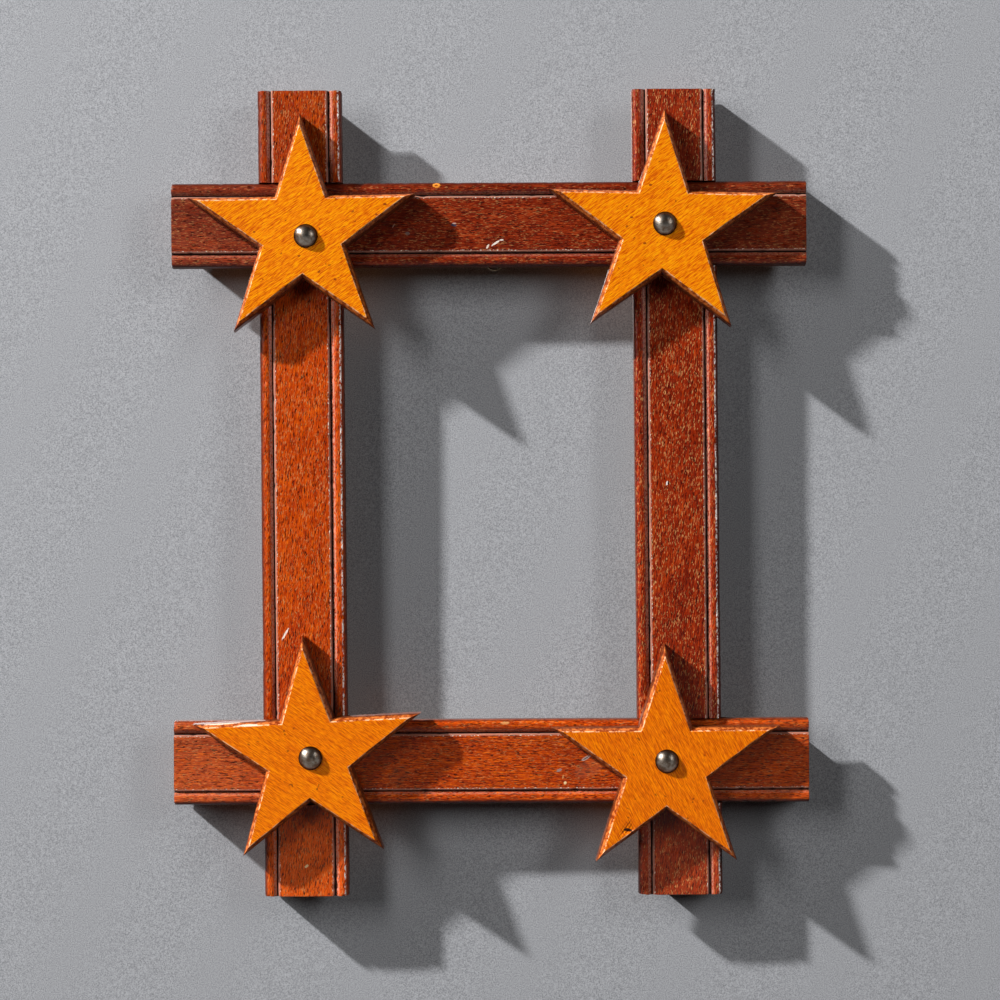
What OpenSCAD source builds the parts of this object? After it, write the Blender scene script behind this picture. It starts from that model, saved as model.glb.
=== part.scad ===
// Wall-hung picture frame of crossed walnut bars with a chamfered star on each crossing.
// X runs to the right as seen from the front, Z runs up and the front faces -Y.
// The origin is the centre of the picture opening on the plane of the frame's back.

/* [Picture] */
// Width of the picture glass
glass_width = 158.8; // [100:0.1:300]
// Height of the picture glass
glass_height = 236.3; // [150:0.1:400]
// Play of the glass in its rebate, both sides together
glass_play = 1; // [0.4:0.1:3]
// Width of the rebate, and of the ledge that the glass rests on
rebate_width = 11.1; // [4:0.1:14]
// Depth of the rebate, from the back
rebate_depth = 11.1; // [4:0.1:13]

/* [Rails and stiles] */
// Width of each bar across its face
bar_width = 40; // [32:0.5:60]
// Thickness of each bar from back to front
bar_thickness = 18; // [15:0.5:30]
// Length of a rail's end beyond a stile
side_stub = 42; // [25:0.2:80]
// Length of a stile's end above the top rail
top_stub = 43.8; // [25:0.2:80]
// Length of a stile's end below the bottom rail
bottom_stub = 43.6; // [25:0.2:80]
// Play of a bar in the notch of the bar that it crosses, both sides together
lap_play = 0.2; // [0.1:0.05:0.4]

/* [Bead moulding] */
// Width of the bead along each edge
bead_width = 6; // [3:0.1:7]
// Width of the quirk, the groove between bead and field
quirk_width = 0.9; // [0.8:0.1:3]
// Depth of the quirk below the face
quirk_depth = 1.8; // [1.2:0.1:3.5]
// Rounding of the field's long corners, worn by handling
arris_round = 1.1; // [0.2:0.05:1.5]

/* [Stars] */
// Radius of a star from its centre to a tip
star_radius = 56.6; // [40:0.2:70]
// Thickness of a star
star_thickness = 10.5; // [7:0.1:16]
// Width of the chamfer, seen from the front
chamfer_width = 2.4; // [1:0.1:4]
// Depth of the chamfer below the star's face
chamfer_depth = 3.2; // [1:0.1:5]
// Top left star: shift to the right and up from its crossing
top_left_shift = [1, -4.8]; // [-8:0.1:8]
// Top right star: shift to the right and up from its crossing
top_right_shift = [-7, -3.2]; // [-8:0.1:8]
// Bottom left star: shift to the right and up from its crossing
bottom_left_shift = [2.7, 4.2]; // [-8:0.1:8]
// Bottom right star: shift to the right and up from its crossing
bottom_right_shift = [-6.7, -0.4]; // [-8:0.1:8]
// Turn of the top left, top right, bottom left and bottom right star, anticlockwise
star_turns = [0.9, -1.2, 2.6, 0.2]; // [-10:0.1:10]

/* [Nails] */
// Diameter of a nail's domed head
head_diameter = 11.2; // [6:0.1:14]
// Height of the dome
head_height = 3.2; // [1.5:0.1:3.6]
// Diameter of a nail's shank
shank_diameter = 2.4; // [1.6:0.1:4]
// Length of a nail's conical point
point_length = 3; // [1.5:0.1:5]
// Wood left behind the point of a nail
point_cover = 2.5; // [1:0.1:5]
// Play of a shank in its hole, both sides together
hole_play = 0.1; // [0.05:0.05:0.3]
// Top left nail: shift to the right and up from the centre of its star
top_left_nail_shift = [1.9, -1.8]; // [-3:0.1:3]
// Top right nail: shift to the right and up from the centre of its star
top_right_nail_shift = [0.9, 1.6]; // [-3:0.1:3]
// Bottom left nail: shift to the right and up from the centre of its star
bottom_left_nail_shift = [1.2, -0.7]; // [-3:0.1:3]
// Bottom right nail: shift to the right and up from the centre of its star
bottom_right_nail_shift = [0.3, 1.6]; // [-3:0.1:3]

/* [Hanging ring and screw eye] */
// Outer diameter of the hanging ring
ring_diameter = 9.6; // [9:0.1:16]
// Diameter of the ring's wire
ring_wire = 1.2; // [0.8:0.05:1.5]
// Outer diameter of the screw eye's loop
eye_diameter = 4.8; // [4.6:0.1:7]
// Diameter of the screw eye's wire
eye_wire = 1.2; // [0.8:0.05:1.3]
// Length of the screw eye's stem in the wood
screw_length = 10; // [6:0.1:16]
// Diameter of the screw eye's stem
screw_diameter = 1.6; // [1.3:0.05:2.4]
// Space between the loop and the wood above it
eye_standoff = 0.3; // [0.2:0.1:3]
// Distance of the screw eye's middle in front of the frame's back
eye_inset = 2.9; // [2.6:0.1:7]
// Shift of the screw eye to the right of the middle, as seen from the front
eye_shift = 2.5; // [-20:0.1:20]
// Space between the ring's wire and the loop that it hangs in
ring_play = 0.3; // [0.1:0.05:0.5]

/* [Hidden] */

// Steps round a full circle
$fn = 64;
// How far a cut runs past the face that it opens
past = 1;

// The glass with its play, and the opening that shows from the front
recess_width = glass_width + glass_play;
recess_height = glass_height + glass_play;
opening_width = recess_width - 2 * rebate_width;
opening_height = recess_height - 2 * rebate_width;

// Centre lines of the bars, from the centre of the opening
stile_x = (opening_width + bar_width) / 2;
rail_z = (opening_height + bar_width) / 2;
rail_length = 2 * stile_x + bar_width + 2 * side_stub;
stile_top = rail_z + bar_width / 2 + top_stub;
stile_bottom = -rail_z - bar_width / 2 - bottom_stub;
// Depth at which the front and back halves of a crossing meet
lap_y = -bar_thickness / 2;

// The crossings in the order top left, top right, bottom left, bottom right
TOP_LEFT = 0;
TOP_RIGHT = 1;
BOTTOM_LEFT = 2;
BOTTOM_RIGHT = 3;
crossings = [[-stile_x, rail_z], [stile_x, rail_z], [-stile_x, -rail_z], [stile_x, -rail_z]];
star_centres = crossings + [top_left_shift, top_right_shift, bottom_left_shift, bottom_right_shift];
nail_centres = star_centres + [top_left_nail_shift, top_right_nail_shift,
                               bottom_left_nail_shift, bottom_right_nail_shift];

// The edges of a regular star lie on the five lines that join every second tip
star_waist = sin(18) / sin(54);
star_edge_distance = star_radius * cos(72);
chamfer_scale = (star_edge_distance - chamfer_width) / star_edge_distance;

// A nail from the underside of its head to its point
nail_length = star_thickness + bar_thickness - point_cover;
// The sphere that the domed head is a cap of
dome_radius = (pow(head_diameter / 2, 2) + pow(head_height, 2)) / (2 * head_height);

// The screw eye's loop, which hangs inside the rebate, and the wire of the ring that hangs in it
eye_loop_radius = (eye_diameter - eye_wire) / 2;
eye_z = recess_height / 2 - eye_standoff - eye_diameter / 2;
ring_loop_radius = (ring_diameter - ring_wire) / 2;
// Height of the line that the ring swings about: the middle of its wire where it rests in the loop
swing_z = eye_z - eye_loop_radius + (eye_wire + ring_wire) / 2 + ring_play;

walnut = [0.47, 0.19, 0.08];
star_wood = [0.86, 0.50, 0.08];
nail_metal = [0.27, 0.26, 0.25];
hanger_brass = [0.60, 0.50, 0.30];

// Section of a bar, back on the X axis and front towards -Y
module bar_section() {
    field_width = bar_width - 2 * (bead_width + quirk_width);
    translate([-bar_width / 2, quirk_depth - bar_thickness])
        square([bar_width, bar_thickness - quirk_depth]);
    rounded_field(field_width);
    for (side = [-1, 1])
        translate([side * (bar_width - bead_width) / 2, bead_width / 2 - bar_thickness])
            bead();
}

// The flat between the quirks, with its two corners rounded
module rounded_field(width) {
    translate([-width / 2, arris_round - bar_thickness])
        square([width, bar_thickness - arris_round]);
    translate([arris_round - width / 2, -bar_thickness])
        square([width - 2 * arris_round, bar_thickness]);
    for (side = [-1, 1])
        translate([side * (width / 2 - arris_round), arris_round - bar_thickness])
            circle(r = arris_round);
}

// A bead about its own centre, with the stem that carries it where the quirk is deep
module bead() {
    circle(d = bead_width);
    translate([-bead_width / 2, 0])
        square([bead_width, bar_thickness / 2 - bead_width / 2]);
}

// What the rebate takes out of the back, between two corners given as seen from the front
module rebate_cut(low, high) {
    translate([low[0], -rebate_depth, low[1]])
        cube([high[0] - low[0], rebate_depth + past, high[1] - low[1]]);
}

// The hole of one nail, through the star and into the crossing behind it
module nail_hole(corner) {
    at_nail(corner)
        translate([0, 0, -nail_length])
            cylinder(d = shank_diameter + hole_play, h = nail_length + past);
}

// Puts its children on a nail's axis, at the star's face, with Z towards the front
module at_nail(corner) {
    translate([nail_centres[corner][0], -bar_thickness - star_thickness, nail_centres[corner][1]])
        rotate([90, 0, 0])
            children();
}

// A rail with its front half running through the crossings, and rebated between and beyond them
module rail(side, corners) {
    notch = bar_width + lap_play;
    stub_start = stile_x + notch / 2;
    stub_end = rail_length / 2 + past;
    difference() {
        translate([-rail_length / 2, 0, side * rail_z])
            rotate([0, 90, 0])
                linear_extrude(rail_length)
                    bar_section();
        for (x = [-stile_x, stile_x])
            translate([x - notch / 2, lap_y, side * rail_z - bar_width / 2 - past])
                cube([notch, past - lap_y, bar_width + 2 * past]);
        for (x = [[-stub_end, -stub_start], [-recess_width / 2, recess_width / 2], [stub_start, stub_end]])
            rebate_cut([x[0], -recess_height / 2], [x[1], recess_height / 2]);
        for (corner = corners)
            nail_hole(corner);
    }
}

// A stile with its back half running through the crossings, and rebated from end to end
module stile(side, corners) {
    notch = bar_width + lap_play;
    difference() {
        translate([side * stile_x, 0, stile_bottom])
            linear_extrude(stile_top - stile_bottom)
                bar_section();
        for (z = [-rail_z, rail_z])
            translate([side * stile_x - bar_width / 2 - past, -bar_thickness - past, z - notch / 2])
                cube([bar_width + 2 * past, past + bar_thickness + lap_y, notch]);
        rebate_cut([-recess_width / 2, stile_bottom - past], [recess_width / 2, stile_top + past]);
        for (corner = corners)
            nail_hole(corner);
    }
}

// Outline of a star about its centre, one tip up
module star_outline() {
    polygon([for (k = [0 : 9])
        let (reach = k % 2 == 0 ? star_radius : star_radius * star_waist)
            reach * [cos(90 + 36 * k), sin(90 + 36 * k)]]);
}

// A star on its crossing: a straight-sided slab with a chamfer towards the front
module star(corner) {
    slab = star_thickness - chamfer_depth;
    color(star_wood)
        difference() {
            translate([star_centres[corner][0], -bar_thickness, star_centres[corner][1]])
                rotate([90, 0, 0])
                    rotate(star_turns[corner]) {
                        linear_extrude(slab)
                            star_outline();
                        translate([0, 0, slab])
                            linear_extrude(chamfer_depth, scale = chamfer_scale)
                                star_outline();
                    }
            nail_hole(corner);
        }
}

// A nail with a domed head, driven through its star into the crossing
module nail(corner) {
    color(nail_metal)
        at_nail(corner) {
            intersection() {
                translate([0, 0, head_height - dome_radius])
                    sphere(dome_radius);
                cylinder(d = head_diameter, h = head_height);
            }
            translate([0, 0, point_length - nail_length])
                cylinder(d = shank_diameter, h = nail_length - point_length);
            translate([0, 0, -nail_length])
                cylinder(d1 = 0, d2 = shank_diameter, h = point_length);
        }
}

// The stem of the screw eye, or the hole for it
module eye_stem(diameter) {
    start = eye_z + eye_loop_radius;
    translate([eye_shift, -eye_inset, start])
        cylinder(d = diameter, h = recess_height / 2 + screw_length - start);
}

module top_rail() {
    color(walnut)
        difference() {
            rail(1, [TOP_LEFT, TOP_RIGHT]);
            eye_stem(screw_diameter + hole_play);
        }
}

module bottom_rail() {
    color(walnut)
        rail(-1, [BOTTOM_LEFT, BOTTOM_RIGHT]);
}

module left_stile() {
    color(walnut)
        stile(-1, [TOP_LEFT, BOTTOM_LEFT]);
}

module right_stile() {
    color(walnut)
        stile(1, [TOP_RIGHT, BOTTOM_RIGHT]);
}

module star_top_left() {
    star(TOP_LEFT);
}

module star_top_right() {
    star(TOP_RIGHT);
}

module star_bottom_left() {
    star(BOTTOM_LEFT);
}

module star_bottom_right() {
    star(BOTTOM_RIGHT);
}

module nail_top_left() {
    nail(TOP_LEFT);
}

module nail_top_right() {
    nail(TOP_RIGHT);
}

module nail_bottom_left() {
    nail(BOTTOM_LEFT);
}

module nail_bottom_right() {
    nail(BOTTOM_RIGHT);
}

// A loop of wire square to the wall, on a stem that is screwed up into the top rail from its rebate
module screw_eye() {
    color(hanger_brass) {
        translate([eye_shift, -eye_inset, eye_z])
            rotate([0, 90, 0])
                rotate_extrude()
                    translate([eye_loop_radius, 0])
                        circle(d = eye_wire);
        eye_stem(screw_diameter);
    }
}

// A closed ring hanging inside the rebate, with its wire through the eye
module hanging_ring() {
    color(hanger_brass)
        translate([eye_shift, -eye_inset, swing_z - ring_loop_radius])
            rotate([90, 0, 0])
                rotate_extrude()
                    translate([ring_loop_radius, 0])
                        circle(d = ring_wire);
}

top_rail();
bottom_rail();
left_stile();
right_stile();
star_top_left();
star_top_right();
star_bottom_left();
star_bottom_right();
nail_top_left();
nail_top_right();
nail_bottom_left();
nail_bottom_right();
screw_eye();
hanging_ring();
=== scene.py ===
"""Looks of a wall-hung frame of crossed walnut bars with a star nailed on each crossing."""
import math

import bmesh
import bpy
import numpy as np
from mathutils import Matrix, Vector, noise


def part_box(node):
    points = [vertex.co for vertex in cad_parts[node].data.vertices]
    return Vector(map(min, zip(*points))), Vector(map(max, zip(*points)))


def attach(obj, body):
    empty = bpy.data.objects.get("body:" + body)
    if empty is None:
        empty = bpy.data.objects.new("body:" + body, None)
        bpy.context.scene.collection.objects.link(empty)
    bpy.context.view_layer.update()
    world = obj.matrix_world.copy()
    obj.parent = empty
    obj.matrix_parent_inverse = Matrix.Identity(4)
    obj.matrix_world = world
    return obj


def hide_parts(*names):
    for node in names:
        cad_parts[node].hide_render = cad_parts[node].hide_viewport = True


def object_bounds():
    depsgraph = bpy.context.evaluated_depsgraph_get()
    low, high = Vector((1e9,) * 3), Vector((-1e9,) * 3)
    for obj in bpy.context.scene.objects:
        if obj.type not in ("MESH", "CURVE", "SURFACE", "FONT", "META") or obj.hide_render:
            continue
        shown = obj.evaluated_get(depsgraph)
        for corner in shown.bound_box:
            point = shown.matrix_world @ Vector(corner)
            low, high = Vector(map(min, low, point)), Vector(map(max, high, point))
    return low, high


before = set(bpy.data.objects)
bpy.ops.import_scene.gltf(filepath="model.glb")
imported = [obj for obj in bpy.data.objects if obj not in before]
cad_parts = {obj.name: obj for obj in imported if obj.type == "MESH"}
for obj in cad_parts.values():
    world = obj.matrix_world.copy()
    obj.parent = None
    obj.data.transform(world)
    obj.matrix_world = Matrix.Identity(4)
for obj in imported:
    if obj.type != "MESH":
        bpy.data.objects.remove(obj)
cad_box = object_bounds()

MM = 0.001

# The bars' section: the bead's crest, its rounding towards the side and its longer one towards the quirk
BEAD_CREST = 2.8 * MM
BEAD_SHOULDER = 2.4 * MM
BEAD_FLANK = 4.8 * MM
QUIRK_FLOOR = 0.15 * MM
QUIRK_DEPTH = 1.5 * MM
ARRIS_ROUND = 1.0 * MM
REBATE_WIDTH = 11.1 * MM
REBATE_DEPTH = 11.1 * MM
LAP_PLAY = 0.2 * MM

# The bars' ends: how far their edges are broken, with a step between
END_ROUND = 0.35 * MM
END_BREAK = 0.3 * END_ROUND

# How far the stiles lean to the left, in degrees, and how far their grain runs out to the side
STILE_LEAN = 0.26
GRAIN_SLANT = 0.12

# Knocks along the bars' edges: ranges of radius, depth and spacing, in millimetres, the edges as shares of
# the half width with their depth below the face, and how steeply a knock's side rises
DENT_RADIUS = (0.9, 2.4)
DENT_DEPTH = (0.12, 0.5)
DENT_SPACING = (4, 22)
DENTED_EDGES = ((0.97, 1.2 * MM), (0.88, 0))
DENT_RISE = 1.5

# The stars' chamfer, how far in the flat face begins, how far in and deep it starts to fall, the chamfer's
# first and last ring as shares of it, the start of the side and the rounding at the back
STAR_CHAMFER = 1.8 * MM
STAR_CHAMFER_DEPTH = 3.2 * MM
STAR_FACE_IN = STAR_CHAMFER + 0.4 * MM
STAR_FALL = (STAR_CHAMFER + 0.1 * MM, 0.03 * MM)
CHAMFER_TOP = (0.95, 0.1)
CHAMFER_FOOT = (0.06, 0.93)
SIDE_START = 0.15 * MM
STAR_BACK_ROUND = 0.2 * MM

# How uneven the chamfer's width is, as a share, and the length of its waves
CHAMFER_UNEVEN = 0.22
CHAMFER_WAVES = (0.013, 0.013, 1)

# Notches in the stars' faces, in millimetres: x, z, radius and depth
STAR_KNOCKS = {"bottom_right": [(62.4, -158.3, 1.5, 0.8), (63.9, -158.5, 1.7, 1.0), (65.4, -158.7, 1.4, 0.7)]}

# The nails: the shank's radius, its point's length and radius, how the head's rim turns in, and where the
# dome's rings start, in radians, and end, as a share of its sweep
NAIL_SHANK = 1.2 * MM
NAIL_POINT = 3 * MM
NAIL_TIP = 0.1 * MM
NAIL_RIM = ((0.995, 0.22 * MM), (1, 0.12 * MM), (0.99, 0))
DOME_MIDDLE = 0.02
DOME_SHARE = 0.97

# The wire of the screw eye and the ring, the eye's stem and the share of its width at its point, its neck,
# and where its loop starts and the gap in it, in degrees
WIRE = 1.2 * MM
SCREW_WIDTH = 1.6 * MM
SCREW_TIP = 0.5
NECK_LENGTH = 0.3 * MM
NECK_WIDTHS = [1.45 * MM, 1.3 * MM]
EYE_START = 4
EYE_GAP = 14

# The ring: where its seam lies and how far its wire turns, in degrees, the share of the wire that is worn
# away on average, and at how many places it is worn most
RING_SEAM = 88
RING_TURN = 359.2
RING_WEAR = 0.03
RING_WORN = 3

# Unevenness of the surfaces: its height, the length of its waves along each axis, how far it is sunk in and a
# number that sets one kind of wave apart from the other
BAR_SWELLS = [(0.10 * MM, (0.045, 0.012, 0.012), 0.6, 0), (0.05 * MM, (0.007, 0.0025, 0.0025), 0.5, 9)]
STAR_SWELLS = [(0.09 * MM, (0.022, 0.022, 0.022), 0.5, 3), (0.03 * MM, (0.0035, 0.0035, 0.0035), 0.5, 5)]
NAIL_SWELLS = [(0.035 * MM, (0.0032, 0.0032, 0.0032), 0.6, 0)]

# Steps of the bars' meshes, along them and round their section
ALONG_STEP = 1.0 * MM
SIDE_STEPS = 4
BEAD_STEPS = 8
QUIRK_STEPS = 2
ARRIS_STEPS = 5
FIELD_STEPS = 9
BACK_STEPS = 10

# Steps of the stars' meshes: along an edge, and shares of the face, the chamfer, the sides and the back
STAR_EDGE_STEPS = 36
FACE_SHARES = (0.96, 0.85, 0.74, 0.63, 0.52, 0.42, 0.32, 0.23, 0.15, 0.08, 0.03)
CHAMFER_SHARES = (0.3, 0.5, 0.7)
SIDE_SHARES = (0.25, 0.5, 0.75)
BACK_SHARES = (0.1, 0.3, 0.5, 0.7, 0.9)

# Steps of the turned and bent meshes
NAIL_AROUND = 72
DOME_STEPS = 22
WIRE_AROUND = 20
POINT_STEPS = 4
SCREW_STEPS = 6
EYE_STEPS = 80
RING_STEPS = 96

# Places of a mesh that count as one, edges too short to keep, the angle from which an edge stays sharp, and
# the slack of a comparison
MERGE_REACH = 2e-6
SHORT_EDGE = 1e-7
SHARP_ANGLE = math.radians(42)
TOUCHING = 1e-9

# Each bar: the seed of its knocks, the dark, middle and light tone of its wood, the tints of its ends (left
# and right of a rail, lower and upper of a stile), how flecked it is, how much dust with painted sheen lies
# on its beads' inner flanks, and which bead carries a broken white line near its side edge: 1 for the one
# towards the opening, -1 for the other and 0 for none
BARS = {
    "top_rail": {
        "seed": 18, "tones": ((72, 14, 6), (124, 34, 10), (172, 66, 24)),
        "ends": ((126, 68, 48), (126, 58, 34)), "flecked": 0.4, "dust_and_sheen_share": 0.2, "white_line": 0,
    },
    "bottom_rail": {
        "seed": 18, "tones": ((128, 32, 4), (188, 65, 6), (236, 108, 18)),
        "ends": ((182, 98, 62), (176, 76, 34)), "flecked": 0.4, "dust_and_sheen_share": 0.3, "white_line": 0,
    },
    "left_stile": {
        "seed": 17, "tones": ((154, 38, 2), (196, 68, 4), (228, 100, 10)),
        "ends": ((255, 110, 30), (60, 10, 4)), "flecked": 0.55, "dust_and_sheen_share": 0.72, "white_line": 1,
    },
    "right_stile": {
        "seed": 21, "tones": ((96, 20, 5), (150, 40, 8), (194, 74, 20)),
        "ends": ((196, 82, 44), (140, 46, 24)), "flecked": 0.8, "dust_and_sheen_share": 0.6, "white_line": -1,
    },
}

# How far into the noise a bar's own swells may start, drawn from its seed
SEED_REACH = 50

# Each star: its turn against the clock and the angle of its grain, in degrees, the seeds of its waves and of
# its nail's, and the dark, middle and light tone of its wood
STARS = {
    "top_left": {"turn": 0.9, "grain": 34, "seed": 10, "nail": 40,
                 "tones": ((196, 78, 0), (240, 128, 1), (255, 166, 2))},
    "top_right": {"turn": -1.2, "grain": 36, "seed": 17, "nail": 45,
                  "tones": ((198, 80, 0), (242, 129, 2), (255, 166, 4))},
    "bottom_left": {"turn": 2.6, "grain": 145, "seed": 24, "nail": 50,
                    "tones": ((200, 80, 0), (238, 118, 1), (252, 146, 2))},
    "bottom_right": {"turn": 0.2, "grain": 118, "seed": 31, "nail": 55,
                     "tones": ((194, 76, 0), (234, 113, 1), (252, 142, 2))},
}

# How far apart in the noises the woods of two bars and of two stars lie
BAR_APART = 17.0
STAR_APART = 13.0

# Noises in the wood: waves a millimetre along and across the grain, the place in the noise, its detail, and
# its roughness and distortion where they aren't the usual ones
WALNUT_NOISES = {
    "figure": ((0.014, 0.07, 0.07), (0, 5, 2), 3.0, 0.6, 0.5),
    "streaks": ((0.07, 1.5, 1.5), (0, 9, 4), 3.0, 0.65),
    "fibres": ((0.40, 3.2, 3.2), (0, 2, 7), 1.0),
    "pores": ((0.42, 2.7, 2.7), (23, 8, 1), 1.0),
    "flecks": ((0.60, 2.7, 2.7), (40, 3, 8), 1.0),
    "grime": ((0.16, 0.35, 0.35), (11, 5, 2), 3.0, 0.65),
    "crumbs": ((0.9, 1.6, 1.6), (31, 6, 4), 1.0),
}
AMBER_NOISES = {
    "figure": ((0.02, 0.09, 0.09), (0, 3, 1), 3.0, 0.55, 0.4),
    "lines": ((0.07, 2.1, 2.1), (0, 6, 2), 2.0, 0.6),
    "fine": ((0.35, 3.4, 3.4), (0, 1, 9), 1.0),
    "pores": ((0.35, 1.7, 1.7), (5, 4, 3), 1.0),
    "grime": ((0.45, 0.45, 0.45), (9, 2, 5), 4.0, 0.7),
    "spots": ((0.36, 0.42, 0.42), (21, 1, 4), 1.0),
}

# Shares of the noises in the wood's tone, relief and roughness, the roughness that it has anyway, and where
# its tone turns from one colour to the next
WALNUT_TONE = {"figure": 0.20, "streaks": 0.42, "fibres": 0.38}
WALNUT_RELIEF = {"fibres": 0.6, "pores": 0.6}
WALNUT_ROUGH = {"grime": 0.2, "sunk": 0.4, "front": -0.35}
WALNUT_ROUGHNESS = 0.55
WALNUT_STEPS = ((0.38, 0.51), (0.51, 0.62))
AMBER_TONE = {"figure": 0.08, "lines": 0.42, "fine": 0.5}
AMBER_RELIEF = {"lines": 0.4, "fine": 0.5}
AMBER_STEPS = ((0.38, 0.5), (0.5, 0.61))

# Stains and wear, some of them painted light and shade: the colour, and how strongly it covers what lies
# below it
STAINS_AND_PAINTED_LIGHT = {
    "pore": ((50, 5, 1), 0.9),
    # Pale flecks: dust in the pores, with painted glints on their edges
    "fleck": ((216, 156, 96), 1.0),
    "handled": ((84, 26, 8), 0.75),
    # Dust with painted sheen on the bead's inner flank
    "dust_and_sheen": ((208, 140, 118), 1.0),
    # Painted shade in the quirk
    "quirk": ((16, 4, 3), 0.95),
    "arris": ((176, 128, 110), 0.62),
    # Chipped varnish with painted glints on the field's corner
    "chip_and_glint": ((250, 238, 220), 0.8),
    "side_edge": ((44, 12, 6), 0.6),
    # A broken white line near the side edge of a bead
    "white_line": ((255, 244, 236), 1.0),
    "amber_pore": ((190, 72, 2), 0.55),
    "amber_spot": ((110, 34, 10), 0.7),
    # Painted shade along a star's outer edge and sides, where it stands on the bars
    "star_edge_shade": ((58, 16, 8), 0.75),
    "star_worn": ((250, 205, 160), 0.7),
}
TINT_COVER = 0.6
SAWN_COVER = 0.85
CHAMFER_COVER = 0.92

# Where a noise, 0 to 1, turns into each of them, from none to full
PORE_STEP = (0.44, 0.36)
FLECK_STEP = (0.61, 0.66)
GRIME_STEP = (0.35, 0.5)
DUST_AND_SHEEN_STEP = (0.34, 0.56)
CHIP_AND_GLINT_STEP = (0.60, 0.66)
WHITE_LINE_STEP = (0.42, 0.52)
AGED_STEP = (0.35, 0.65)
SAWN_STEP = (0.4, 0.6)
AMBER_PORE_STEP = (0.40, 0.28)
AMBER_SPOT_STEP = (0.74, 0.79)
CHAMFER_SHADE_STEP = (0.4, 0.6)
WORN_STEP = (0.46, 0.56)

# Where they lie on a bar, in millimetres: from, to and how softly a band fades. Dust with painted sheen, the
# quirk's painted shade and what is sunk start from the bead's foot, arris and chips with painted glints from
# the arris and the flat behind it, the others from the side
DUST_AND_SHEEN_BAND = (-1.5, -0.2, 0.35)
QUIRK_SHADE_BAND = (-0.25, 0.15, 0.15)
ARRIS_BAND = (0.15, 0.05, 0.12)
CHIP_AND_GLINT_BAND = (-0.1, 0.25, 0.15)
WHITE_LINE_BAND = (-1.9, -1.3, 0.2)
HANDLED_STEP = (2.4, 1.0)
SIDE_EDGE_STEP = (1.1, 0.5)
REBATE_STEP = (0.3, 0.6)
SUNK_BAND = (-0.4, 0.3, 0.2)

# How deep below the face the front's colour ends, and how far before the back bare wood starts, in mm
FRONT_STEP = (3.2, 2.0)
BACK_STEP = (-1.6, -0.3)

# How far in from a bar's ends, in millimetres, sawn wood shows and the end's tint fades out, and where one
# tint turns into the other
SAWN_REACH = (0.35, 0.1)
TINT_REACH = (75, 30)
TINT_TURN = (-1, 1)

# On a star, in millimetres: the chamfer's inner edge, the outer edge darkened with painted shade, the worn
# edge of the face, how far before the back the two dark colours end, and how deep and how steeply the wear
# fades behind the face
CHAMFER_EDGE = (0.1, -0.1)
STAR_FOOT_SHADE = (0.7, 0.2)
WORN_BAND = (-0.2, 0.15, 0.2)
STAR_BACK_STEP = (-0.1, -0.3)
WORN_DEPTH = 1.0
WORN_FADE = 4.0

# Pairs of colours that a noise mixes
AGED_WOOD = ((58, 24, 12), (92, 44, 24))
BARE_WOOD = ((74, 48, 30), (122, 86, 58))
SAWN_WOOD = ((66, 28, 14), (112, 58, 30))
# The chamfers' colours, darkened partly as a stain and partly as painted shade
CHAMFER_STAIN_AND_SHADE = ((112, 34, 10), (206, 112, 50))
STEEL_TONES = ((132, 124, 114), (92, 74, 60))
# The dome's rim, darkened with painted shade
STEEL_RIM_SHADE = (36, 24, 18)
BRASS_TONES = ((112, 98, 78), (60, 50, 42))
WALL_TONES = ((119, 120, 123), (193, 194, 198))
WALL_CLOUD = (153, 154, 158)
FLOOR_TONES = ((150, 150, 151), (164, 164, 165))

# What kind of surface each is: how much light varnish and paint throw back, and how much of a metal it is
VARNISH = ("Specular IOR Level", 0.22)
WALL_PAINT = ("Specular IOR Level", 0.15)
FLOOR_PAINT = ("Specular IOR Level", 0.2)
STEEL = ("Metallic", 1.0)
BRASS = ("Metallic", 0.85)

# Roughness: how much of it a noise adds, and its least
AMBER_ROUGH = (0.2, 0.24)
STEEL_ROUGH = (0.3, 0.2)
BRASS_ROUGH = (0.4, 0.3)
WALL_ROUGH = 0.75
FLOOR_ROUGH = 0.8

# Relief of the surfaces: its strength and its depth in metres
WALNUT_BUMP = (0.6, 0.00025)
AMBER_BUMP = (0.3, 0.0002)
STEEL_BUMP = (0.12, 0.0002)
BRASS_BUMP = (0.2, 0.0001)
WALL_BUMP = (0.15, 0.0004)
FLOOR_BUMP = (0.1, 0.001)

# Noises of the metals and paints: waves a metre, detail and roughness, and where they turn into a colour
BLOOM = (420.0, 4.0, 0.6)
BLOOM_STEP = (0.38, 0.66)
# Where the nail's painted shade towards its rim begins and ends, as a share of its radius
RIM_SHADE_STEP = (0.72, 1.0)
SCRATCH_WAVES = (3000, 900, 700)
SCRATCHES = (1.0, 2.0, 0.6)
TARNISH = (900.0, 4.0, 0.65)
TARNISH_STEP = (0.4, 0.64)
DRAWN = (3500.0, 2.0, 0.5)
ROLLER = (1900.0, 2.0, 0.7)
ROLLER_STEP = (0.3, 0.7)
WALL_CLOUDS = (9.0, 3.0, 0.5)
WALL_CLOUD_SHARE = 0.3
FLOOR_CLOUDS = (6.0, 4.0, 0.5)

# The raggedness of a mark's edge, in waves a metre and as a share of its size, where it ends and how it fades
MARK_WAVES = 1600.0
MARK_RAGGED = 0.7
MARK_EDGE = (1.45, 1.15)
MARK_FADE = 0.4 * MM
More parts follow.
